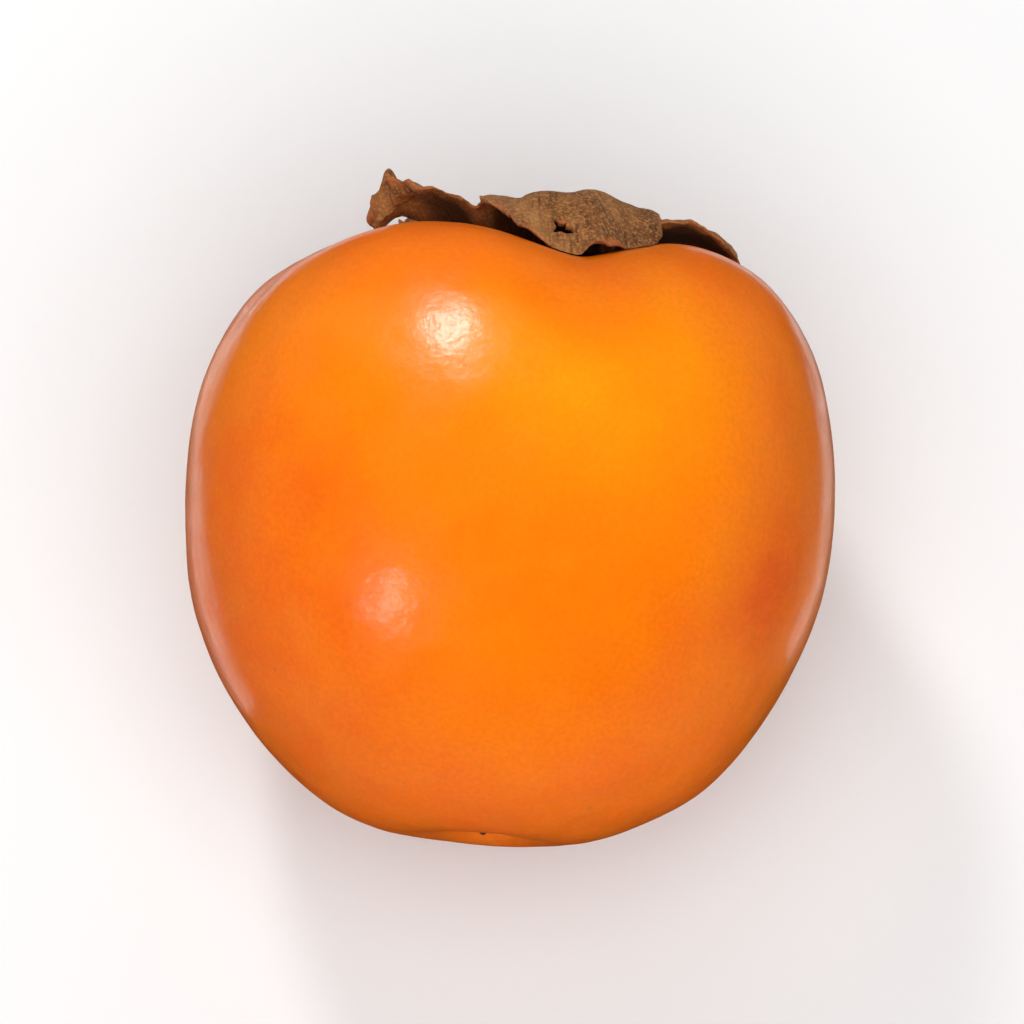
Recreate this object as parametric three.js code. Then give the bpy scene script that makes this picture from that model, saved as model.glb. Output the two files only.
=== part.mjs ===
// A persimmon lying on its side, with its dried four-lobed calyx, cut stem and style tip.
// Millimetres, +Z up. The origin is the middle of the small flat spot that the fruit lies on.
// The fruit's axis runs along +Y, towards the calyx, which is tilted up a little.

import * as THREE from "three";
import { mergeVertices } from "three/addons/utils/BufferGeometryUtils.js";

// Driving dimensions of the fruit. Heights along its axis are counted from its widest girth.
const GIRTH_RADIUS = 34.1;
const APEX_DEPTH = 36.5;
const APEX_RADIUS = 5;
const APEX_FULLNESS = 2;
const CREST_HEIGHT = 25.3;
const CREST_RADIUS = 17.8;
const CREST_FULLNESS = 2.2;
const SEAT_HEIGHT = 20.8;
const SEAT_RADIUS = 6.4;
const DIMPLE_DEPTH = 2.2;
const DIMPLE_RADIUS = 4.2;

// Four furrows run down from the calyx between four swollen shoulders.
const FURROW_DROP = 3.7;
const FURROW_PINCH = 0.022;
const FURROW_SOFTNESS = 0.11;
const SHOULDER_LIFT = [0.7, -0.2, 0.1, 0.05];

// How the fruit lies: its calyx end is raised, and it is rolled about its own axis.
const TILT_DEG = 5;
const FRUIT_ROLL_DEG = 16.4;
const CALYX_ROLL_DEG = 16;
const PRESS_DEPTH = 1.6;
const PRESS_SOFTNESS = 0.5;
const CONTACT_ALONG_AXIS = -5.2;

// The calyx: a thick plate on the seat, a cup that climbs out of the hollow, and four spreading lobes.
const CALYX_GAP = 0.3;
const CALYX_THICKNESS = 0.85;
const COLLAR_HEIGHT = 0.7;
const COLLAR_RADIUS = 4.2;

// The cup's middle line, as radius and height over the plate, and how it goes on between two lobes.
const CUP_LINE = [[0, 0], [4.4, 0], [6.9, 1.3], [8.7, 3.9]];
const NOTCH_LINE = [[10.4, 5.7], [14, 7], [18, 7.4]];
const NOTCH_LENGTH = 13.8;
const CUP_LENGTH = 10.4;
const CUP_ROWS = 5;
const BLADE_ROWS = 9;

// One entry for each lobe, clockwise as seen from the calyx end, starting with the lobe on top.
// line carries the cup's line on to the lobe's tip. The rest shapes the margin and waves the blade.
const LOBES = [
  { line: [[12, 7.8], [15.6, 7.4], [19.2, 4.8], [21, 2.7]], wave: 0.5, turns: 1.5, phase: 0.4, lean: 0.05, nick: 1.5 },
  { line: [[11.6, 6.4], [16.4, 7.2], [20, 6.3], [22.4, 3.6]], wave: 0.5, turns: 1.2, phase: 2.1, lean: -0.04, nick: 0.5 },
  { line: [[11.8, 6.4], [16.6, 7.6], [20.4, 7.6], [22.4, 6.6]], wave: 0.6, turns: 1.4, phase: 3.9, lean: 0.06, nick: 0.8 },
  { line: [[10.9, 6.4], [13.4, 7.2], [15.7, 8], [17, 8.9]], wave: 0.7, turns: 1.6, phase: 5.2, lean: -0.05, nick: 0.9 },
];

// The cut stem and the dried tip of the style.
const STEM_RADIUS = 2.5;
const STEM_LENGTH = 5.2;
const STEM_CUT_SLANT = 0.22;
const STYLE_RADIUS = 0.95;
const STYLE_LENGTH = 0.9;
const STYLE_GAP = 0.5;

const QUARTER_TURN = Math.PI / 2;
const rad = THREE.MathUtils.degToRad;
const ease = THREE.MathUtils.smoothstep;

// How deep in a furrow an angle lies: 1 along the furrow's floor, 0 on the shoulders between.
function furrowAt(angle) {
  const across = Math.sin(2 * angle);
  return 1 - Math.hypot(across, FURROW_SOFTNESS) / Math.hypot(1, FURROW_SOFTNESS);
}

// The shoulders differ a little in height, blended from each to the next.
function shoulderLift(angle) {
  const turns = ((angle / QUARTER_TURN - 0.5) % 4 + 4) % 4;
  const first = Math.floor(turns) % 4;
  const share = ease(turns - Math.floor(turns), 0, 1);
  return THREE.MathUtils.lerp(SHOULDER_LIFT[first], SHOULDER_LIFT[(first + 1) % 4], share);
}

// A quarter of a superellipse, as a point at a turn from 0, at its widest, to a right angle, at its end.
function fullQuarter(middle, across, along, fullness, turn) {
  return new THREE.Vector2(
    middle + across * Math.cos(turn) ** (2 / fullness),
    along * Math.sin(turn) ** (2 / fullness),
  );
}

// The fruit's half section from the apex out to the girth, up to the crest and down to the seat.
function fruitProfile() {
  const points = [0, 0.3, 0.65].map((share) => new THREE.Vector2(share * APEX_RADIUS, -APEX_DEPTH));
  const lowerSteps = 17;
  for (let i = 0; i <= lowerSteps; i++) {
    const turn = QUARTER_TURN * (1 - i / lowerSteps);
    points.push(fullQuarter(APEX_RADIUS, GIRTH_RADIUS - APEX_RADIUS, -APEX_DEPTH, APEX_FULLNESS, turn));
  }
  const upperSteps = 12;
  for (let i = 1; i <= upperSteps; i++) {
    const turn = QUARTER_TURN * (i / upperSteps);
    points.push(fullQuarter(CREST_RADIUS, GIRTH_RADIUS - CREST_RADIUS, CREST_HEIGHT, CREST_FULLNESS, turn));
  }
  const hollowSteps = 6;
  for (let i = 1; i <= hollowSteps; i++) {
    const radius = THREE.MathUtils.lerp(CREST_RADIUS, SEAT_RADIUS, i / hollowSteps);
    const climb = ease(radius, SEAT_RADIUS, CREST_RADIUS);
    points.push(new THREE.Vector2(radius, THREE.MathUtils.lerp(SEAT_HEIGHT, CREST_HEIGHT, climb)));
  }
  points.push(new THREE.Vector2(SEAT_RADIUS / 2, SEAT_HEIGHT));
  points.push(new THREE.Vector2(0, SEAT_HEIGHT));
  return points;
}

// Moves a point of the plain turned body to the grown fruit's skin.
function swell(point) {
  const angle = Math.atan2(point.x, point.z);
  const radius = Math.hypot(point.x, point.z);
  const inHollow = ease(radius, SEAT_RADIUS, CREST_RADIUS);
  const onTop = point.y > 0 && radius < CREST_RADIUS;
  const nearCrest = onTop ? inHollow : ease(point.y, 2, CREST_HEIGHT);
  const upwards = ease(point.y, -APEX_DEPTH, CREST_HEIGHT);
  const pinch = FURROW_PINCH * furrowAt(angle) * upwards * inHollow;
  const rise = shoulderLift(angle) - FURROW_DROP * furrowAt(angle);
  const dimple = point.y < 0 ? DIMPLE_DEPTH * Math.exp(-((radius / DIMPLE_RADIUS) ** 2)) : 0;
  point.set(
    point.x * (1 - pinch),
    point.y + rise * nearCrest + dimple,
    point.z * (1 - pinch),
  );
}

// The height that a point takes over the surface: 0 where it would have sunk in, with a soft edge round that.
function pressed(z) {
  if (z >= PRESS_SOFTNESS) return z;
  if (z <= -PRESS_SOFTNESS) return 0;
  return (z + PRESS_SOFTNESS) ** 2 / (4 * PRESS_SOFTNESS);
}

function changePoints(geometry, change) {
  const places = geometry.attributes.position;
  const point = new THREE.Vector3();
  for (let i = 0; i < places.count; i++) {
    change(point.fromBufferAttribute(places, i));
    places.setXYZ(i, point.x, point.y, point.z);
  }
}

function turnedBody(profile, segments) {
  const lathe = new THREE.LatheGeometry(profile, segments);
  lathe.deleteAttribute("normal");
  lathe.deleteAttribute("uv");
  return lathe;
}

// The fruit's place in the part's frame. The group is let down until the skin sinks in by PRESS_DEPTH.
const fruitPlace = new THREE.Group();
fruitPlace.rotation.x = rad(TILT_DEG);

function makeFruit() {
  const body = turnedBody(fruitProfile(), 64);
  changePoints(body, swell);
  body.rotateY(rad(FRUIT_ROLL_DEG));
  let lowest = 0;
  changePoints(body, (point) => {
    lowest = Math.min(lowest, point.clone().applyEuler(fruitPlace.rotation).z);
  });
  const middle = new THREE.Vector3(0, CONTACT_ALONG_AXIS, -GIRTH_RADIUS).applyEuler(fruitPlace.rotation);
  fruitPlace.position.set(0, -middle.y, -lowest - PRESS_DEPTH);
  fruitPlace.updateMatrix();
  const back = fruitPlace.matrix.clone().invert();
  changePoints(body, (point) => {
    point.applyMatrix4(fruitPlace.matrix);
    point.z = pressed(point.z);
    point.applyMatrix4(back);
  });
  return mergeVertices(body, 1e-3);
}

const toCurve = (line) => new THREE.SplineCurve(line.map(([radius, height]) => new THREE.Vector2(radius, height)));
const notchCurve = toCurve([...CUP_LINE, ...NOTCH_LINE]);
const lobeCurves = LOBES.map(({ line }) => toCurve([...CUP_LINE, ...line]));

function alongCurve(curve, distance) {
  return curve.getPointAt(Math.min(1, distance / curve.getLength()));
}

// The cup's rows are alike all the way round, and the rest share out each blade's own length.
function distanceAt(share, reach) {
  const cupShare = CUP_ROWS / (CUP_ROWS + BLADE_ROWS);
  if (share < cupShare) return (share / cupShare) * CUP_LENGTH;
  return THREE.MathUtils.mapLinear(share, cupShare, 1, CUP_LENGTH, reach);
}

// A point of the calyx's middle surface. share goes from 0 at the stem to 1 at the margin.
function calyxPoint(share, angle) {
  const quarter = Math.round(angle / QUARTER_TURN);
  const which = ((quarter % 4) + 4) % 4;
  const lobe = LOBES[which];
  const curve = lobeCurves[which];
  const aside = 2 * (angle / QUARTER_TURN - quarter);
  const across = THREE.MathUtils.lerp(aside, Math.sin(aside * QUARTER_TURN), 0.4);
  const atNotch = across ** 8;
  const nick = lobe.nick * Math.exp(-(((across - 0.3) / 0.16) ** 2));
  const blade = (curve.getLength() - NOTCH_LENGTH) * Math.max(0, 1 - Math.abs(across) ** 2.4) ** 0.6;
  const distance = distanceAt(share, NOTCH_LENGTH + blade - nick);
  const { x: radius, y: height } = alongCurve(curve, distance).lerp(alongCurve(notchCurve, distance), atNotch);
  const free = ease(radius, 8, 17) * (1 - across ** 4);
  const crease = -0.7 * Math.exp(-((across / 0.16) ** 2)) * ease(radius, 6, 14);
  const wave = lobe.wave * Math.sin(lobe.turns * Math.PI * across + lobe.phase) * free;
  const collar = COLLAR_HEIGHT * (1 - ease(radius, COLLAR_RADIUS - 1.2, COLLAR_RADIUS + 1.4));
  const turned = (quarter + across / 2) * QUARTER_TURN + lobe.lean * free * (1 - across ** 2);
  return new THREE.Vector3(
    radius * Math.sin(turned),
    height + crease + wave + collar,
    radius * Math.cos(turned),
  );
}

// The middle surface's normal, from its own neighbours, pointing away from the fruit.
function calyxNormal(share, angle) {
  if (share < 0.02) return new THREE.Vector3(0, 1, 0);
  const small = 0.004;
  const outward = calyxPoint(share + small, angle).sub(calyxPoint(share - small, angle));
  const around = calyxPoint(share, angle + small).sub(calyxPoint(share, angle - small));
  return outward.cross(around).normalize();
}

// A closed blade round an axis: an upper and an under face with their triangles alike, and a rim.
function bladeGeometry(rows, columns, pointAt) {
  const positions = [];
  const index = [];
  const perFace = 1 + rows * columns;
  for (const side of [1, -1]) {
    positions.push(...pointAt(0, 0, side));
    for (let row = 1; row <= rows; row++)
      for (let column = 0; column < columns; column++)
        positions.push(...pointAt(row / rows, (column / columns) * 2 * Math.PI, side));
  }
  const at = (face, row, column) => face * perFace + (row ? 1 + (row - 1) * columns + (column % columns) : 0);
  const addTriangle = (face, a, b, c) => (face ? index.push(a, c, b) : index.push(a, b, c));
  for (const face of [0, 1])
    for (let column = 0; column < columns; column++) {
      addTriangle(face, at(face, 0, 0), at(face, 1, column), at(face, 1, column + 1));
      for (let row = 1; row < rows; row++) {
        const [a, b] = [at(face, row, column), at(face, row + 1, column)];
        const [c, d] = [at(face, row + 1, column + 1), at(face, row, column + 1)];
        addTriangle(face, a, b, c);
        addTriangle(face, a, c, d);
      }
    }
  for (let column = 0; column < columns; column++) {
    const [a, b] = [at(0, rows, column), at(0, rows, column + 1)];
    const [c, d] = [at(1, rows, column + 1), at(1, rows, column)];
    index.push(a, d, c, a, c, b);
  }
  const geometry = new THREE.BufferGeometry();
  geometry.setAttribute("position", new THREE.Float32BufferAttribute(positions, 3));
  geometry.setIndex(index);
  return geometry;
}

function makeCalyx() {
  return bladeGeometry(CUP_ROWS + BLADE_ROWS, 80, (share, angle, side) => {
    const point = calyxPoint(share, angle);
    const normal = calyxNormal(Math.min(share, 0.99), angle);
    return point.addScaledVector(normal, (side * CALYX_THICKNESS) / 2);
  });
}

// The stem's cut end slants, and its foot flares where it joins the calyx.
function makeStem() {
  const profile = [
    [0, 0],
    [STEM_RADIUS * 1.28, 0],
    [STEM_RADIUS * 1.22, 0.5],
    [STEM_RADIUS * 1.02, 1.5],
    [STEM_RADIUS * 0.96, STEM_LENGTH * 0.6],
    [STEM_RADIUS, STEM_LENGTH - 0.35],
    [STEM_RADIUS - 0.3, STEM_LENGTH],
    [0, STEM_LENGTH],
  ].map(([radius, height]) => new THREE.Vector2(radius, height));
  const stem = turnedBody(profile, 20);
  changePoints(stem, (point) => {
    const nearCut = ease(point.y, STEM_LENGTH * 0.5, STEM_LENGTH);
    point.set(point.x * 1.08, point.y + STEM_CUT_SLANT * (point.x + 0.5 * point.z) * nearCut, point.z * 0.94);
  });
  return mergeVertices(stem, 1e-3);
}

function makeStyleTip() {
  const profile = [
    [0, 0],
    [STYLE_RADIUS, 0],
    [STYLE_RADIUS * 0.86, STYLE_LENGTH * 0.25],
    [STYLE_RADIUS * 0.42, STYLE_LENGTH * 0.6],
    [STYLE_RADIUS * 0.24, STYLE_LENGTH * 0.95],
    [0, STYLE_LENGTH],
  ].map(([radius, height]) => new THREE.Vector2(radius, height));
  return mergeVertices(turnedBody(profile, 12), 1e-3);
}

const skinMaterial = new THREE.MeshStandardMaterial({ color: 0xf58a12, roughness: 0.35, metalness: 0 });
const calyxMaterial = new THREE.MeshStandardMaterial({ color: 0x84532f, roughness: 0.9, metalness: 0 });
const stemMaterial = new THREE.MeshStandardMaterial({ color: 0x6b4628, roughness: 0.85, metalness: 0 });
const styleMaterial = new THREE.MeshStandardMaterial({ color: 0x2a1a12, roughness: 0.8, metalness: 0 });

function addPiece(name, geometry, material, height, rollDeg = 0) {
  const mesh = new THREE.Mesh(geometry, material);
  mesh.name = name;
  mesh.position.y = height;
  mesh.rotation.y = rad(rollDeg);
  fruitPlace.add(mesh);
  return mesh;
}

const plateMiddle = SEAT_HEIGHT + CALYX_GAP + CALYX_THICKNESS / 2;
const stemFoot = plateMiddle + COLLAR_HEIGHT + CALYX_THICKNESS / 2 + CALYX_GAP;
addPiece("fruit", makeFruit(), skinMaterial, 0);
addPiece("calyx", makeCalyx(), calyxMaterial, plateMiddle, CALYX_ROLL_DEG);
addPiece("stem", makeStem(), stemMaterial, stemFoot, CALYX_ROLL_DEG + 30);
const styleTip = addPiece("style_tip", makeStyleTip(), styleMaterial, -APEX_DEPTH + DIMPLE_DEPTH - STYLE_GAP);
styleTip.rotation.x = Math.PI;

const persimmon = new THREE.Group();
persimmon.add(fruitPlace);

export default persimmon;
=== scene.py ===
"""A ripe persimmon lying on its side: waxy skin, dried calyx, cut stem and style tip."""

import math

import bpy
from mathutils import Matrix, Vector, kdtree, noise


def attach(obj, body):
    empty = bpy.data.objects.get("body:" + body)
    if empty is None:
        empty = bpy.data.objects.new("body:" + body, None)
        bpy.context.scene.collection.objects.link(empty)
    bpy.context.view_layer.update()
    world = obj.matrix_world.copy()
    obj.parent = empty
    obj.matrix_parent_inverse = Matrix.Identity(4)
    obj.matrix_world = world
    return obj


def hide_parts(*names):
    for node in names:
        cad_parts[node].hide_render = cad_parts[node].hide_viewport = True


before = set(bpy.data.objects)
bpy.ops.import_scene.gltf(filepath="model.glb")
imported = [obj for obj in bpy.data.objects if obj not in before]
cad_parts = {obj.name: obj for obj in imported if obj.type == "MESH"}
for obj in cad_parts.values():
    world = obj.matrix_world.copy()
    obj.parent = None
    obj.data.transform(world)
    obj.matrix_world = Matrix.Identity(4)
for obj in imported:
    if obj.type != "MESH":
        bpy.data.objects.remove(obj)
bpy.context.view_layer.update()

MM = 0.001

# The fruit's own frame: its girth's centre, with +Y along its axis towards the calyx.
FRUIT_CENTRE = Vector((0, 2.208, 32.4)) * MM
FRUIT_TILT = math.radians(5)
FRUIT_PLACE = Matrix.Translation(FRUIT_CENTRE) @ Matrix.Rotation(FRUIT_TILT, 4, "X")
FRUIT_UPRIGHT = FRUIT_PLACE.inverted()
AXIS = (FRUIT_PLACE.to_3x3() @ Vector((0, 1, 0))).normalized()

# Heights along the fruit's axis, counted from the girth.
APEX_HEIGHT = -34.3 * MM
STEM_FOOT = 22.95 * MM
STEM_LENGTH = 5.2 * MM
STEM_RADIUS = 2.5 * MM
STYLE_FOOT = -34.8 * MM
STYLE_LENGTH = 0.9 * MM
STYLE_RADIUS = 0.95 * MM

# Where the left lobe is crumpled most.
CRUMPLED_TIP = Vector((-16.3, 31.7, 39.7)) * MM

# The camera looks down steeply from the apex side, as in the photograph.
VIEW_AZIMUTH = math.radians(4.4)
VIEW_ELEVATION = math.radians(77.5)
VIEW_TARGET = FRUIT_CENTRE + Vector((0.4, -2.0, 0)) * MM
VIEW_BACK = Vector(
    (
        math.sin(VIEW_AZIMUTH) * math.cos(VIEW_ELEVATION),
        -math.cos(VIEW_AZIMUTH) * math.cos(VIEW_ELEVATION),
        math.sin(VIEW_ELEVATION),
    )
)
FRAME_WIDTH = 106.4 * MM
FRAME_PIXELS = 1024
LENS = 300
SENSOR = 36
VIEW_DISTANCE = FRAME_WIDTH * LENS / SENSOR
VIEW_PLACE = VIEW_TARGET + VIEW_BACK * VIEW_DISTANCE

# Places in the picture, as pixels across and down.
TEAR_PIXEL = (561, 227)
HANGING_CORNER_PIXEL = (372, 191)
MAIN_HIGHLIGHT_PIXEL = (454, 327)
LEFT_HIGHLIGHT_PIXEL = (395, 600)


# ---------------------------------------------------------------- small helpers


def smooth_step(low, high, value):
    share = min(1, max(0, (value - low) / (high - low)))
    return share * share * (3 - 2 * share)


def only(piece):
    """Selects this piece alone, in object mode."""
    if bpy.context.object and bpy.context.object.mode != "OBJECT":
        bpy.ops.object.mode_set(mode="OBJECT")
    bpy.ops.object.select_all(action="DESELECT")
    piece.select_set(True)
    bpy.context.view_layer.objects.active = piece


def copy_of(node_name, piece_name):
    """A copy of a CAD node with its loose triangles merged into clean faces."""
    piece = bpy.data.objects.new(piece_name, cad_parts[node_name].data.copy())
    bpy.context.collection.objects.link(piece)
    only(piece)
    bpy.ops.object.mode_set(mode="EDIT")
    bpy.ops.mesh.select_all(action="SELECT")
    bpy.ops.mesh.remove_doubles(threshold=0.01 * MM)
    bpy.ops.mesh.tris_convert_to_quads(
        face_threshold=math.radians(60), shape_threshold=math.radians(70)
    )
    bpy.ops.mesh.normals_make_consistent(inside=False)
    bpy.ops.object.mode_set(mode="OBJECT")
    return piece


def modify(piece, kind, **settings):
    """Adds a modifier and applies it."""
    only(piece)
    modifier = piece.modifiers.new(kind.lower(), kind)
    for name, value in settings.items():
        setattr(modifier, name, value)
    bpy.ops.object.modifier_apply(modifier=modifier.name)


def subdivide(piece, levels):
    modify(piece, "SUBSURF", levels=levels, render_levels=levels)


def clouds(name, size, depth=2, colour=False):
    texture = bpy.data.textures.new(name, "CLOUDS")
    texture.noise_scale = size
    texture.noise_depth = depth
    if colour:
        texture.cloud_type = "COLOR"
    return texture


def weigh(piece, name, weight_at):
    """A vertex group whose weight at each point comes from weight_at(index, point)."""
    group = piece.vertex_groups.new(name=name)
    for vertex in piece.data.vertices:
        weight = weight_at(vertex.index, vertex.co)
        if weight > 0.001:
            group.add([vertex.index], weight, "REPLACE")
    return name


def move_points(piece, place_of):
    """Moves every point by hand: place_of(point) gives its new place."""
    for vertex in piece.data.vertices:
        vertex.co = place_of(vertex.co.copy())


def seen_at(piece, across, down):
    """The point of a piece seen at this pixel of the picture, and its outward normal there."""
    bpy.context.view_layer.update()
    turn = VIEW_BACK.to_track_quat("Z", "Y")
    right, up = turn @ Vector((1, 0, 0)), turn @ Vector((0, 1, 0))
    half = FRAME_PIXELS / 2
    aim = VIEW_TARGET + (right * (across - half) - up * (down - half)) * FRAME_WIDTH / FRAME_PIXELS
    found, place, normal, _ = piece.ray_cast(VIEW_PLACE, (aim - VIEW_PLACE).normalized())
    if not found:
        raise ValueError(f"{piece.name} isn't seen at {across}, {down}")
    return place, normal


def mirrored(piece, across, down):
    """The direction a lamp must hang in to shine back from this pixel, by the mean slope round it."""
    normal = Vector()
    steps = range(-15, 16, 5)
    for step_across in steps:
        for step_down in steps:
            normal += seen_at(piece, across + step_across, down + step_down)[1]
    normal.normalize()
    place, _ = seen_at(piece, across, down)
    back = (VIEW_PLACE - place).normalized()
    return 2 * normal.dot(back) * normal - back


def fade_out(distance, reach):
    """1 at no distance, fading like a bell over the reach."""
    return math.exp(-((distance / reach) ** 2))


def finish_piece(piece, node_name, material):
    """Gives a piece its material and lets it stand in for its CAD node."""
    only(piece)
    piece.data.materials.clear()
    piece.data.materials.append(material)
    bpy.ops.object.shade_smooth()
    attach(piece, "root")
    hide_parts(node_name)


# ---------------------------------------------------------------- material helpers


class Finish:
    """A material with its Principled shader, built node by node."""

    def __init__(self, name, **sockets):
        self.material = bpy.data.materials.new(name)
        self.material.use_nodes = True
        self.tree = self.material.node_tree
        self.shader = self.tree.nodes["Principled BSDF"]
        for socket, value in sockets.items():
            self.shader.inputs[socket.replace("_", " ")].default_value = value
        self.object_place = self.tree.nodes.new("ShaderNodeTexCoord").outputs["Object"]

    def node(self, kind, inputs=None, **settings):
        made = self.tree.nodes.new(kind)
        for name, value in settings.items():
            setattr(made, name, value)
        for socket, value in (inputs or {}).items():
            self.feed(made.inputs[socket], value)
        return made

    def feed(self, socket, value):
        if isinstance(value, bpy.types.NodeSocket):
            self.tree.links.new(value, socket)
        else:
            socket.default_value = value

    def placed(self, matrix):
        """Object coordinates in the frame that the matrix gives."""
        location, turn, _ = matrix.decompose()
        inner = self.node(
            "ShaderNodeMapping",
            {"Vector": self.object_place, "Location": location, "Rotation": turn.to_euler()},
            vector_type="TEXTURE",
        )
        return inner.outputs[0]

    def noise(self, place, scale, detail=3, roughness=0.5):
        made = self.node(
            "ShaderNodeTexNoise",
            {"Vector": place, "Scale": scale, "Detail": detail, "Roughness": roughness},
        )
        return made.outputs[0]

    def cells(self, place, scale):
        """The distance from the middle of the nearest of many scattered cells."""
        return self.node("ShaderNodeTexVoronoi", {"Vector": place, "Scale": scale}).outputs["Distance"]

    def attribute(self, name):
        return self.node("ShaderNodeAttribute", attribute_name=name).outputs["Fac"]

    def span(self, value, low, high, to_low=0, to_high=1):
        """Eases from to_low to to_high while the value goes from low to high."""
        made = self.node(
            "ShaderNodeMapRange",
            {"Value": value, "From Min": low, "From Max": high, "To Min": to_low, "To Max": to_high},
            interpolation_type="SMOOTHSTEP",
        )
        return made.outputs["Result"]

    def plus(self, first, second):
        return self.node("ShaderNodeMath", {0: first, 1: second}, operation="ADD").outputs[0]

    def times(self, first, second):
        return self.node("ShaderNodeMath", {0: first, 1: second}, operation="MULTIPLY").outputs[0]

    def mix(self, factor, first, second, blend="MIX"):
        made = self.node("ShaderNodeMix", data_type="RGBA", blend_type=blend)
        self.feed(made.inputs[0], factor)
        self.feed(made.inputs[6], first)
        self.feed(made.inputs[7], second)
        return made.outputs[2]

    def ramp(self, value, stops):
        made = self.node("ShaderNodeValToRGB", {"Fac": value})
        elements = made.color_ramp.elements
        while len(elements) < len(stops):
            elements.new(0.5)
        for element, (position, tone) in zip(elements, stops):
            element.position = position
            element.color = tone
        return made.outputs["Color"]

    def near(self, place, centre, reach, fade):
        """1 within reach of a point, fading to 0 over the distance fade."""
        return self.span(self.distance(place, centre), reach, reach + fade, 1, 0)

    def distance(self, place, centre):
        made = self.node("ShaderNodeVectorMath", {0: place, 1: centre}, operation="DISTANCE")
        return made.outputs["Value"]

    def bump(self, height, distance, before=None):
        made = self.node("ShaderNodeBump", {"Height": height, "Distance": distance, "Strength": 1.0})
        if before is not None:
            self.feed(made.inputs["Normal"], before)
        return made.outputs[0]

    def done(self, **links):
        for socket, value in links.items():
            self.feed(self.shader.inputs[socket.replace("_", " ")], value)
        return self.material


def colour(red, green, blue):
    return (red, green, blue, 1)


# ---------------------------------------------------------------- materials

RIPE_ORANGE = colour(0.88, 0.178, 0.0012)
SHOULDER_ORANGE = colour(0.89, 0.2, 0.0015)
SUNNY_YELLOW = colour(0.9, 0.235, 0.0018)
APEX_RED = colour(0.86, 0.145, 0.001)
CREST_RED = colour(0.86, 0.16, 0.001)
# Used for the fruit's own blush, and also as painted shade in the dent by the calyx and on the lower
# sides.
BLUSH_AND_SHADE_RED = colour(0.78, 0.1, 0.0008)
DEEP_RED = colour(0.7, 0.072, 0.0008)
NOON_YELLOW = colour(0.92, 0.3, 0.002)
PALE_HOLLOW = colour(0.8, 0.34, 0.03)
SCAR_BROWN = colour(0.035, 0.014, 0.006)
SPECK_BROWN = colour(0.42, 0.14, 0.02)

# Patches of the skin, as the photograph shows them: across, down, reach, fade, strength, tone.
SKIN_PATCHES = [
    (772, 588, 2, 10, 1.0, DEEP_RED),
    (800, 470, 3, 12, 0.4, BLUSH_AND_SHADE_RED),
    (245, 520, 8, 15, 0.75, BLUSH_AND_SHADE_RED),
    (285, 655, 7, 16, 0.45, BLUSH_AND_SHADE_RED),
    (500, 800, 8, 14, 0.3, BLUSH_AND_SHADE_RED),
    (690, 700, 5, 14, 0.25, BLUSH_AND_SHADE_RED),
    (415, 245, 3, 9, 0.35, BLUSH_AND_SHADE_RED),
    (745, 320, 4, 11, 0.3, BLUSH_AND_SHADE_RED),
    (610, 350, 5, 14, 0.8, NOON_YELLOW),
    (500, 700, 4, 14, 0.3, SUNNY_YELLOW),
    # The dent by the calyx: painted shade in the furrow, a darker, redder patch.
    (580, 282, 4, 8, 0.7, BLUSH_AND_SHADE_RED),
]


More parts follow.
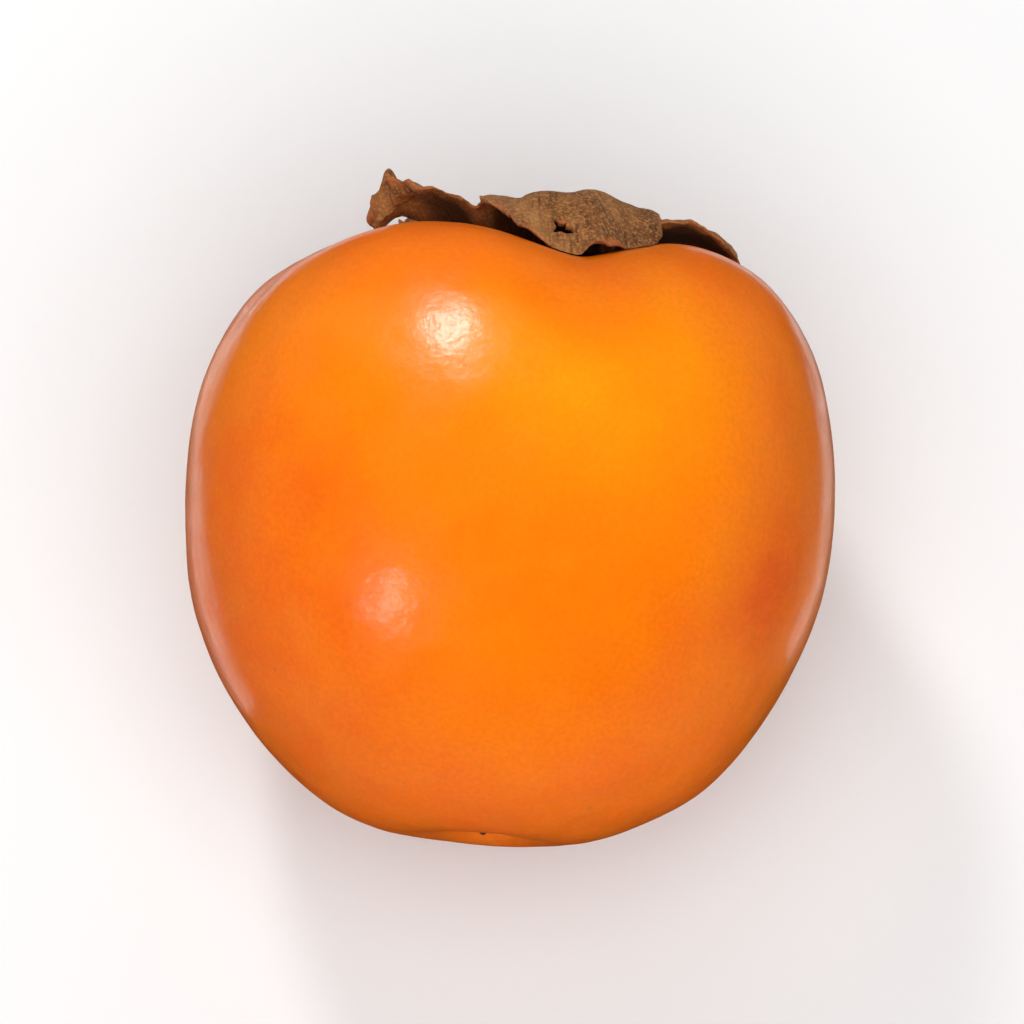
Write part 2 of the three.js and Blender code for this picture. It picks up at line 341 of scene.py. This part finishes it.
def waxy_skin(fruit):
    skin = Finish(
        "waxy_skin",
        Roughness=0.34,
        IOR=1.42,
        Subsurface_Weight=0.12,
        Subsurface_Radius=(1.0, 0.3, 0.08),
        Subsurface_Scale=2.5 * MM,
        Coat_Weight=0.45,
        Coat_Roughness=0.21,
    )
    place = skin.placed(FRUIT_PLACE)
    axis_height = skin.node("ShaderNodeSeparateXYZ", {0: place}).outputs["Y"]

    drift = skin.noise(place, 42, detail=2)
    wandering = skin.plus(axis_height, skin.span(drift, 0.3, 0.7, -6 * MM, 6 * MM))
    along = skin.span(wandering, -36 * MM, 24 * MM)
    tone = skin.ramp(
        along,
        [
            (0.0, APEX_RED),
            (0.4, RIPE_ORANGE),
            (0.8, SHOULDER_ORANGE),
            (1.0, CREST_RED),
        ],
    )

    for across, down, reach, fade, strength, patch_tone in SKIN_PATCHES:
        centre = FRUIT_UPRIGHT @ seen_at(fruit, across, down)[0]
        patch = skin.near(place, centre, reach * MM, fade * MM)
        uneven = skin.span(skin.noise(place, 110, detail=4), 0.25, 0.7, 0.45, 1.0)
        tone = skin.mix(skin.times(skin.times(patch, uneven), strength), tone, patch_tone)
    # Redder and darker towards the underside: partly the fruit's own blush, partly painted shade on the
    # lower sides where less light falls.
    blush_and_shade_below = skin.near(place, Vector((6, -4, -33)) * MM, 8 * MM, 24 * MM)
    tone = skin.mix(skin.times(blush_and_shade_below, 0.35), tone, BLUSH_AND_SHADE_RED)

    # Soft mottling, then the fine grain of the skin's cells.
    mottle = skin.span(skin.noise(place, 150, detail=5, roughness=0.6), 0.3, 0.72)
    tone = skin.mix(skin.times(mottle, 0.25), tone, SUNNY_YELLOW)
    grain = skin.span(skin.noise(place, 1900, detail=2), 0.25, 0.75, 0.94, 1.045)
    grey_grain = skin.node("ShaderNodeCombineColor", {0: grain, 1: grain, 2: grain}).outputs[0]
    tone = skin.mix(1.0, tone, grey_grain, "MULTIPLY")

    # Paler where the calyx shaded it, and a dark dry scar round the style.
    hollow = skin.near(place, Vector((0, 21, 0)) * MM, 9 * MM, 4 * MM)
    tone = skin.mix(skin.times(hollow, 0.7), tone, PALE_HOLLOW)
    ragged_edge = skin.span(skin.noise(place, 600, detail=3), 0.3, 0.7, -0.4 * MM, 0.4 * MM)
    from_apex = skin.distance(place, (0, APEX_HEIGHT, 0))
    scar = skin.span(skin.plus(from_apex, ragged_edge), 1.5 * MM, 2.3 * MM, 1, 0)
    tone = skin.mix(skin.times(scar, 0.9), tone, SCAR_BROWN)

    # A few tiny corky specks.
    few = skin.span(skin.noise(place, 60, detail=1), 0.56, 0.66)
    speck = skin.times(skin.span(skin.cells(place, 190), 0.03, 0.075, 1, 0), few)
    tone = skin.mix(skin.times(speck, 0.5), tone, SPECK_BROWN)

    wax = skin.noise(place, 260, detail=4)
    roughness = skin.span(wax, 0.3, 0.7, 0.29, 0.4)
    pebbles = skin.bump(skin.noise(place, 1500, detail=3), 0.028 * MM)
    dents = skin.bump(skin.noise(place, 230, detail=2), 0.13 * MM, pebbles)
    coat = skin.bump(skin.noise(place, 1200, detail=2), 0.022 * MM, dents)
    return skin.done(Base_Color=tone, Roughness=roughness, Normal=dents, Coat_Normal=coat)


DRY_TAN = colour(0.3, 0.122, 0.036)
DRY_BROWN = colour(0.125, 0.04, 0.012)
DARK_BROWN = colour(0.032, 0.01, 0.0045)
SHADED_BROWN = colour(0.02, 0.006, 0.0025)
PALE_FELT = colour(0.52, 0.25, 0.085)
TORN_RUST = colour(0.4, 0.12, 0.038)


def dried_calyx():
    felt = Finish(
        "dried_calyx",
        Roughness=0.88,
        Specular_IOR_Level=0.25,
        Sheen_Weight=0.08,
        Sheen_Roughness=0.5,
        Sheen_Tint=colour(0.8, 0.5, 0.25),
    )
    place = felt.object_place
    lobe_map = felt.node("ShaderNodeUVMap", uv_map="lobe_map").outputs[0]
    margin = felt.attribute("torn_edge")

    def streaks(across, along, detail=4):
        stretched = felt.node("ShaderNodeMapping", {"Vector": lobe_map, "Scale": (across, along, 1)})
        return felt.noise(stretched.outputs[0], 1, detail=detail, roughness=0.62)

    broad = felt.noise(place, 130, detail=3)
    tone = felt.ramp(
        felt.plus(felt.times(broad, 0.6), felt.times(streaks(16, 9), 0.4)),
        [(0.3, DARK_BROWN), (0.46, DRY_BROWN), (0.6, DRY_TAN), (0.8, PALE_FELT)],
    )
    fine = felt.span(streaks(95, 26), 0.35, 0.7)
    tone = felt.mix(felt.times(fine, 0.5), tone, DRY_TAN)
    dark_lines = felt.span(streaks(60, 5, detail=3), 0.34, 0.46, 1, 0)
    tone = felt.mix(felt.times(dark_lines, 0.55), tone, DARK_BROWN)
    nap = felt.span(felt.noise(place, 2900, detail=3), 0.46, 0.68)
    tone = felt.mix(felt.times(nap, 0.5), tone, PALE_FELT)
    worn = felt.span(felt.noise(place, 420, detail=4), 0.35, 0.6)
    edge = felt.times(felt.span(margin, 0.55, 0.95), worn)
    tone = felt.mix(felt.times(edge, 0.7), tone, TORN_RUST)
    # Painted shade: the faces turned towards the fruit, away from the torn edge, are painted nearly
    # black, as the shade between the calyx and the skin.
    inner = felt.times(felt.attribute("painted_shade_inner_face"), felt.span(margin, 0.1, 0.7, 0.96, 0.3))
    shaded = felt.mix(felt.times(fine, 0.18), SHADED_BROWN, DRY_BROWN)
    tone = felt.mix(inner, tone, shaded)

    veins = felt.bump(streaks(34, 3, detail=2), 0.25 * MM)
    ribs = felt.bump(streaks(110, 12), 0.16 * MM, veins)
    fuzz = felt.bump(felt.noise(place, 2300, detail=2), 0.17 * MM, ribs)
    return felt.done(Base_Color=tone, Normal=fuzz)


BARK_BROWN = colour(0.13, 0.06, 0.028)
BARK_DARK = colour(0.035, 0.016, 0.009)
CUT_WOOD = colour(0.4, 0.235, 0.11)
PITH = colour(0.12, 0.055, 0.025)
STYLE_BLACK = colour(0.012, 0.006, 0.004)
STYLE_BROWN = colour(0.07, 0.03, 0.014)
FLOOR_GREY = colour(0.7, 0.7, 0.7)
FLOOR_PALE = colour(0.73, 0.73, 0.73)


def dry_stem():
    bark = Finish("dry_stem", Roughness=0.85, Specular_IOR_Level=0.3)
    place = bark.placed(FRUIT_PLACE)
    along = bark.node("ShaderNodeMapping", {"Vector": place, "Scale": (1, 0.16, 1)}).outputs[0]
    grain = bark.noise(along, 1500, detail=5, roughness=0.65)
    tone = bark.mix(bark.span(grain, 0.35, 0.65), BARK_DARK, BARK_BROWN)

    end = bark.attribute("cut_end")
    parts = bark.node("ShaderNodeSeparateXYZ", {0: place})
    across = bark.node("ShaderNodeCombineXYZ", {0: parts.outputs[0], 2: parts.outputs[2]}).outputs[0]
    from_axis = bark.node("ShaderNodeVectorMath", {0: across}, operation="LENGTH").outputs["Value"]
    wobble = bark.plus(from_axis, bark.span(bark.noise(place, 700), 0.3, 0.7, -0.25 * MM, 0.25 * MM))
    wood = bark.mix(bark.span(wobble, 0.5 * MM, 0.9 * MM, 1, 0), CUT_WOOD, PITH)
    wood = bark.mix(bark.span(wobble, 1.8 * MM, 2.3 * MM), wood, BARK_DARK)
    fibres = bark.span(bark.noise(place, 3800, detail=2), 0.35, 0.7, 0.0, 0.6)
    wood = bark.mix(fibres, wood, PITH)
    tone = bark.mix(bark.span(end, 0.3, 0.7), tone, wood)
    rough_bark = bark.bump(grain, 0.25 * MM)
    fine_bark = bark.bump(bark.noise(place, 3000, detail=3), 0.08 * MM, rough_bark)
    return bark.done(Base_Color=tone, Normal=fine_bark)


def dry_style():
    style = Finish("dry_style", Roughness=0.7, Specular_IOR_Level=0.3)
    place = style.object_place
    withered = style.span(style.noise(place, 1700, detail=4), 0.35, 0.65)
    tone = style.mix(withered, STYLE_BLACK, STYLE_BROWN)
    return style.done(Base_Color=tone, Normal=style.bump(style.noise(place, 3200, detail=3), 0.15 * MM))


def studio_floor():
    paper = Finish("studio_floor", Roughness=0.9, Specular_IOR_Level=0.1)
    shade = paper.span(paper.noise(paper.object_place, 3, detail=2), 0.2, 0.8)
    return paper.done(Base_Color=paper.mix(shade, FLOOR_GREY, FLOOR_PALE))


# ---------------------------------------------------------------- the fruit


LEFT_FURROW_TURN = -73.6
LEFT_FURROW_RADIUS = 20 * MM


def ease_left_furrow(point):
    """The left furrow is shallow, so the outline runs smoothly over the shoulder there."""
    inner = FRUIT_UPRIGHT @ point
    if inner.x > 0 or inner.y < 0:
        return point
    turn = math.degrees(math.atan2(inner.x, inner.z)) - LEFT_FURROW_TURN
    beyond = math.hypot(inner.x, inner.z) - LEFT_FURROW_RADIUS
    share = fade_out(turn, 13) * fade_out(beyond, 7 * MM)
    return point + Vector((-0.55, 0.8, 0.15)) * 1.4 * share * MM


def make_fruit():
    """The skin follows the CAD solid, with the soft unevenness of a grown fruit."""
    fruit = copy_of("fruit", "persimmon_skin")
    subdivide(fruit, 2)
    move_points(fruit, ease_left_furrow)
    free = weigh(fruit, "free_skin", lambda _, point: smooth_step(0.4 * MM, 7 * MM, point.z))
    swellings = clouds("swellings", 17 * MM, depth=1)
    modify(fruit, "DISPLACE", texture=swellings, strength=0.75 * MM, mid_level=0.5, vertex_group=free)
    dents = clouds("dents", 5.5 * MM, depth=1)
    modify(fruit, "DISPLACE", texture=dents, strength=0.16 * MM, mid_level=0.5, vertex_group=free)
    finish_piece(fruit, "fruit", waxy_skin(fruit))
    return fruit


# ---------------------------------------------------------------- the calyx


def rim_points(calyx):
    """Points along the sharp edges that run round the blade's margin."""
    only(calyx)
    bpy.ops.object.mode_set(mode="EDIT")
    bpy.ops.mesh.select_mode(type="EDGE")
    bpy.ops.mesh.select_all(action="DESELECT")
    bpy.ops.mesh.edges_select_sharp(sharpness=math.radians(55))
    bpy.ops.object.mode_set(mode="OBJECT")
    points = []
    for edge in calyx.data.edges:
        if edge.select:
            start, end = (calyx.data.vertices[index].co for index in edge.vertices)
            points += [start.lerp(end, step / 4) for step in range(4)]
    return points


def distances_to(points, piece):
    tree = kdtree.KDTree(len(points))
    for index, point in enumerate(points):
        tree.insert(point, index)
    tree.balance()
    return [tree.find(vertex.co)[2] for vertex in piece.data.vertices]


def map_lobes(calyx):
    """A UV map of the blade: the angle round the stem, and the distance from the stem."""
    layer = calyx.data.uv_layers.new(name="lobe_map")
    upright = [FRUIT_UPRIGHT @ vertex.co for vertex in calyx.data.vertices]
    for face in calyx.data.polygons:
        middle = FRUIT_UPRIGHT @ face.center
        middle_angle = math.atan2(middle.x, middle.z)
        for loop in face.loop_indices:
            point = upright[calyx.data.loops[loop].vertex_index]
            angle = math.atan2(point.x, point.z)
            angle -= math.tau * round((angle - middle_angle) / math.tau)
            layer.data[loop].uv = (angle / math.tau * 4, math.hypot(point.x, point.z) / (22 * MM))


def keep(piece, name, values):
    """Stores one number a point for the material to read."""
    attribute = piece.data.attributes.new(name, "FLOAT", "POINT")
    attribute.data.foreach_set("value", values)


def curl_top_lobe(point):
    """Bends the top lobe's two points and its left corner down over the furrow."""
    inner = FRUIT_UPRIGHT @ point
    angle = math.degrees(math.atan2(inner.x, inner.z))
    if not -40 < angle < 75:
        return point
    radius = math.hypot(inner.x, inner.z)
    reach = smooth_step(13 * MM, 20.5 * MM, radius)
    first = fade_out(angle - 11, 9)
    second = fade_out(angle - 35, 10)
    corner = fade_out(angle + 16, 10) * smooth_step(10 * MM, 14 * MM, radius)
    point = point - AXIS * (reach * (2.4 * first + 2.6 * second) + 1.1 * corner) * MM
    return point + Vector((2.4, 0, 0)) * corner * MM


def lift_left_tip(point):
    """The left lobe's crumpled tip stands up, off the skin."""
    near = 1 - smooth_step(1 * MM, 8 * MM, (point - CRUMPLED_TIP).length)
    return point + (AXIS * 1.9 + Vector((-0.3, 0, 0))) * near * MM


def drop_left_corner(calyx):
    """The near corner of the left lobe hangs down to the skin."""
    corner, _ = seen_at(calyx, *HANGING_CORNER_PIXEL)

    def dropped(point):
        near = fade_out((point - corner).length, 2.5 * MM)
        return point + (Vector((0.7, 0, 0)) - AXIS * 4.0) * near * MM

    move_points(calyx, dropped)


def tear_hole(calyx):
    """A small ragged hole through the top lobe."""
    place, normal = seen_at(calyx, *TEAR_PIXEL)
    bpy.ops.object.select_all(action="DESELECT")
    reaches = (0.5, 0.9, 0.6, 0.4, 0.7, 1.2, 0.5, 0.45, 0.7, 0.45, 1.0, 1.35, 0.8, 0.45)
    bpy.ops.mesh.primitive_cylinder_add(
        vertices=len(reaches),
        radius=1.2 * MM,
        depth=4 * MM,
        location=place,
        rotation=normal.to_track_quat("Z", "Y").to_euler(),
    )
    cutter = bpy.context.object
    for index, vertex in enumerate(cutter.data.vertices):
        reach = reaches[index // 2 % len(reaches)]
        vertex.co.x *= reach
        vertex.co.y *= reach * 1.2
    modify(calyx, "BOOLEAN", operation="DIFFERENCE", object=cutter, solver="EXACT")
    only(cutter)
    bpy.ops.object.delete()
    values = calyx.data.attributes["torn_edge"].data
    for index, vertex in enumerate(calyx.data.vertices):
        beyond = max(0, (vertex.co - place).length - 0.7 * MM)
        values[index].value = max(values[index].value, 0.9 * fade_out(beyond, 0.8 * MM))


def make_calyx(fruit):
    calyx = copy_of("calyx", "dried_calyx")
    rim = rim_points(calyx)
    subdivide(calyx, 2)
    away = distances_to(rim, calyx)
    margin = weigh(calyx, "margin", lambda index, _: fade_out(away[index], 2.4 * MM))
    narrow_margin = weigh(calyx, "narrow_margin", lambda index, _: fade_out(away[index], 1.1 * MM))
    blade = weigh(
        calyx,
        "blade",
        lambda _, point: smooth_step(6 * MM, 14 * MM, math.hypot(*(FRUIT_UPRIGHT @ point).xz)),
    )
    tip = weigh(
        calyx,
        "crumpled_tip",
        lambda _, point: 1 - smooth_step(2 * MM, 8 * MM, (point - CRUMPLED_TIP).length),
    )

    def ruffle(texture, strength, group, direction="NORMAL", mid_level=0.5):
        modify(
            calyx,
            "DISPLACE",
            texture=texture,
            direction=direction,
            strength=strength * MM,
            mid_level=mid_level,
            vertex_group=group,
        )

    # Thinner at the edge, then waved, curled, torn, crumpled and crinkled.
    ruffle(None, -0.2, narrow_margin, mid_level=0)
    ruffle(clouds("undulation", 7 * MM, depth=1), 1.6, blade, "Y")
    ruffle(clouds("curl", 3.2 * MM, depth=1), 1.5, margin, "Y", mid_level=0.42)
    ruffle(clouds("ragged", 1.7 * MM, colour=True), 0.9, narrow_margin, "RGB_TO_XYZ")
    ruffle(clouds("crumple", 2.8 * MM, depth=1, colour=True), 3.4, tip, "RGB_TO_XYZ")
    ruffle(clouds("crinkle", 1.1 * MM), 0.16, blade)

    move_points(calyx, curl_top_lobe)
    move_points(calyx, lift_left_tip)
    drop_left_corner(calyx)
    keep(calyx, "torn_edge", [fade_out(distance, 1.3 * MM) for distance in away])
    modify(calyx, "SHRINKWRAP", target=fruit, wrap_mode="OUTSIDE", offset=0.12 * MM)
    tear_hole(calyx)
    # Painted shade: marks the faces that turn towards the fruit, away from the crumpled tip, for the
    # material to paint darker.
    shaded = []
    for vertex in calyx.data.vertices:
        off_tip = smooth_step(3 * MM, 9 * MM, (vertex.co - CRUMPLED_TIP).length)
        shaded.append(smooth_step(0.1, 0.6, -vertex.normal.dot(AXIS)) * off_tip)
    keep(calyx, "painted_shade_inner_face", shaded)
    map_lobes(calyx)
    finish_piece(calyx, "calyx", dried_calyx())


# ---------------------------------------------------------------- stem and style

STAND_UP = Matrix.Rotation(math.radians(-90), 4, "X")


def start_disc(name, sides, radius, height):
    """A disc across the fruit's axis, at a height along it, ready to be drawn out."""
    place = FRUIT_PLACE @ Matrix.Translation((0, height, 0)) @ STAND_UP
    bpy.ops.object.select_all(action="DESELECT")
    bpy.ops.mesh.primitive_circle_add(
        vertices=sides,
        radius=radius,
        fill_type="NGON",
        location=place.to_translation(),
        rotation=place.to_euler(),
    )
    disc = bpy.context.object
    disc.name = name
    disc.data.name = name
    bpy.ops.object.transform_apply(location=True, rotation=True, scale=True)
    return disc


def draw_out(steps):
    """Extrudes the selected end along the axis, one (length, width factor) step after another."""
    for length, factor in steps:
        bpy.ops.mesh.extrude_region_move(TRANSFORM_OT_translate={"value": AXIS * length})
        bpy.ops.transform.resize(value=(factor, factor, factor))


def close_end(insets):
    """Insets the end face so that subdividing keeps its edge, and leaves a grid of rings on it."""
    for width in insets:
        bpy.ops.mesh.inset(thickness=width)


def turn_faces_out(piece):
    only(piece)
    bpy.ops.object.mode_set(mode="EDIT")
    bpy.ops.mesh.select_all(action="SELECT")
    bpy.ops.mesh.remove_doubles(threshold=0.001 * MM)
    bpy.ops.mesh.normals_make_consistent(inside=False)
    bpy.ops.object.mode_set(mode="OBJECT")


def make_stem():
    """A short woody stub, ridged along its length and snipped off at a slant."""
    stem = start_disc("stem_stub", 24, STEM_RADIUS * 1.28, STEM_FOOT)
    bpy.ops.object.mode_set(mode="EDIT")
    bpy.ops.mesh.select_all(action="SELECT")
    steps = [(0.5, 0.96), (0.6, 0.88), (0.9, 0.93), (1.1, 0.98), (1.0, 1.01), (0.8, 1.02), (0.3, 0.99)]
    draw_out([(length * MM, factor) for length, factor in steps])
    close_end([0.12 * MM, 0.5 * MM, 0.8 * MM])
    bpy.ops.object.mode_set(mode="OBJECT")
    turn_faces_out(stem)
    subdivide(stem, 3)

    top = STEM_FOOT + STEM_LENGTH

    def weathered(point):
        inner = FRUIT_UPRIGHT @ point
        angle = math.atan2(inner.x, inner.z)
        radius = math.hypot(inner.x, inner.z)
        rise = smooth_step(STEM_FOOT, top, inner.y)
        side = smooth_step(STEM_RADIUS * 0.5, STEM_RADIUS * 0.95, radius)
        round_about = Vector((math.cos(angle) * 3.4, math.sin(angle) * 3.4, inner.y * 160))
        ridge = noise.noise(round_about) * 0.34 * MM + noise.noise(round_about * 2.7) * 0.16 * MM
        factor = 1 + side * ridge / max(radius, MM)
        inner.x *= factor
        inner.z *= factor
        inner.y += 0.22 * (inner.x + 0.5 * inner.z) * rise
        splinter = noise.noise(Vector((inner.x, inner.z, 0)) * 2600) * 0.22 * MM
        if inner.y > top - 1.1 * MM:
            inner.y += splinter
        return FRUIT_PLACE @ inner

    heights = [(FRUIT_UPRIGHT @ vertex.co).y for vertex in stem.data.vertices]
    ends = [smooth_step(top - 0.25 * MM, top - 0.05 * MM, height) for height in heights]
    move_points(stem, weathered)
    keep(stem, "cut_end", ends)
    finish_piece(stem, "stem", dry_stem())


def make_style_tip():
    """The withered style: a small crooked point on a flared foot."""
    tip = start_disc("style_tip_dry", 12, STYLE_RADIUS, STYLE_FOOT)
    bpy.ops.object.mode_set(mode="EDIT")
    bpy.ops.mesh.select_all(action="SELECT")
    draw_out([(-STYLE_LENGTH / 4, width) for width in (0.8, 0.65, 0.72, 0.7)])
    close_end([0.08 * MM])
    bpy.ops.object.mode_set(mode="OBJECT")
    turn_faces_out(tip)
    subdivide(tip, 3)
    crooked = clouds("withered", 0.7 * MM, depth=1, colour=True)
    modify(tip, "DISPLACE", texture=crooked, direction="RGB_TO_XYZ", strength=0.35 * MM, mid_level=0.5)
    finish_piece(tip, "style_tip", dry_style())


# ---------------------------------------------------------------- the studio


def lay_floor():
    bpy.ops.object.select_all(action="DESELECT")
    bpy.ops.mesh.primitive_plane_add(size=8, location=(0, 0, -0.05 * MM))
    floor = bpy.context.object
    floor.name = "floor"
    floor.data.materials.append(studio_floor())
    floor.visible_glossy = False


def hang_light(name, towards, distance, size, power, shines=True, in_reflections=True):
    """A soft round lamp in that direction from the fruit, turned to face it."""
    place = FRUIT_CENTRE + Vector(towards).normalized() * distance
    bpy.ops.object.light_add(type="AREA", location=place)
    lamp = bpy.context.object
    lamp.name = name
    lamp.data.shape = "DISK"
    lamp.data.size = size
    lamp.data.energy = power
    lamp.rotation_euler = (place - FRUIT_CENTRE).to_track_quat("Z", "Y").to_euler()
    lamp.visible_camera = False
    lamp.visible_diffuse = shines
    lamp.visible_glossy = in_reflections
    lamp.data.cycles.use_multiple_importance_sampling = in_reflections


def hang_sky(towards, strength):
    """Very soft light from above that reaches the whole floor evenly."""
    bpy.ops.object.light_add(type="SUN", location=(0, 0, 2))
    sky = bpy.context.object
    sky.name = "sky_fill"
    sky.data.energy = strength
    sky.data.angle = math.radians(70)
    sky.rotation_euler = Vector(towards).to_track_quat("Z", "Y").to_euler()
    sky.visible_glossy = False
    sky.data.cycles.use_multiple_importance_sampling = False


def lay_arc(name, side, turns, power):
    """Faint low strips beside the fruit, whose reflection draws the bright band along its rim."""
    for turn in turns:
        outward = Vector((side * math.cos(math.radians(turn)), math.sin(math.radians(turn)), 0))
        place = outward * 52 * MM + Vector((0, 2, 8)) * MM
        aim = outward * 30 * MM + Vector((0, 2, 42)) * MM
        bpy.ops.object.light_add(type="AREA", location=place)
        strip = bpy.context.object
        strip.name = f"{name}_{turn + 90}"
        strip.data.shape = "RECTANGLE"
        strip.data.size = 14 * MM
        strip.data.size_y = 9 * MM
        strip.data.energy = power
        towards_aim = (aim - place).normalized()
        along = Vector((-outward.y, outward.x, 0))
        turned = Matrix((along, (-towards_aim).cross(along), -towards_aim)).transposed()
        strip.rotation_euler = turned.to_euler()
        strip.visible_camera = False
        strip.visible_diffuse = False


def set_world():
    """Faint light from all round, behind a pale backdrop that only the camera sees."""
    world = bpy.data.worlds.new("pale_room")
    world.use_nodes = True
    backdrop = world.node_tree.nodes["Background"]
    backdrop.inputs["Color"].default_value = (0.95, 0.97, 1, 1)
    brightness = world.node_tree.nodes.new("ShaderNodeMapRange")
    brightness.inputs["To Min"].default_value = 0.07
    brightness.inputs["To Max"].default_value = 0.9
    seen = world.node_tree.nodes.new("ShaderNodeLightPath").outputs["Is Camera Ray"]
    world.node_tree.links.new(seen, brightness.inputs["Value"])
    world.node_tree.links.new(brightness.outputs["Result"], backdrop.inputs["Strength"])
    world.cycles_visibility.glossy = False
    world.cycles.sampling_method = "NONE"
    bpy.context.scene.world = world


def set_camera():
    bpy.ops.object.camera_add(location=VIEW_PLACE, rotation=VIEW_BACK.to_track_quat("Z", "Y").to_euler())
    camera = bpy.context.object
    camera.name = "camera"
    camera.data.lens = LENS
    camera.data.sensor_width = SENSOR
    camera.data.clip_start = 0.01
    camera.data.clip_end = 20
    bpy.context.scene.camera = camera


set_camera()
set_world()
lay_floor()

fruit = make_fruit()
make_calyx(fruit)
make_stem()
make_style_tip()

hang_light("key_softbox", mirrored(fruit, *MAIN_HIGHLIGHT_PIXEL), 0.6, 0.11, 1.4)
hang_light("left_softbox", mirrored(fruit, *LEFT_HIGHLIGHT_PIXEL), 0.6, 0.12, 0.38, shines=False)
hang_light("overhead_fill", (0.08, -0.34, 1), 0.9, 1.0, 5.0, in_reflections=False)
hang_sky((0.05, -0.3, 1), 1.35)
hang_light("back_fill", (0.1, 1, 0.55), 1.2, 0.8, 2.6, in_reflections=False)
hang_light("front_fill", (0, -1, 0.4), 1.2, 0.8, 2.2, in_reflections=False)
hang_light("left_fill", (-1, -0.3, 0.35), 1.2, 0.8, 2.0, in_reflections=False)
hang_light("right_fill", (1, -0.3, 0.35), 1.2, 0.8, 1.5, in_reflections=False)
lay_arc("left_strip", -1, range(-30, 61, 15), 0.00034)
lay_arc("right_strip", 1, range(-12, 64, 15), 0.00033)
bpy.context.scene.view_settings.view_transform = "Standard"
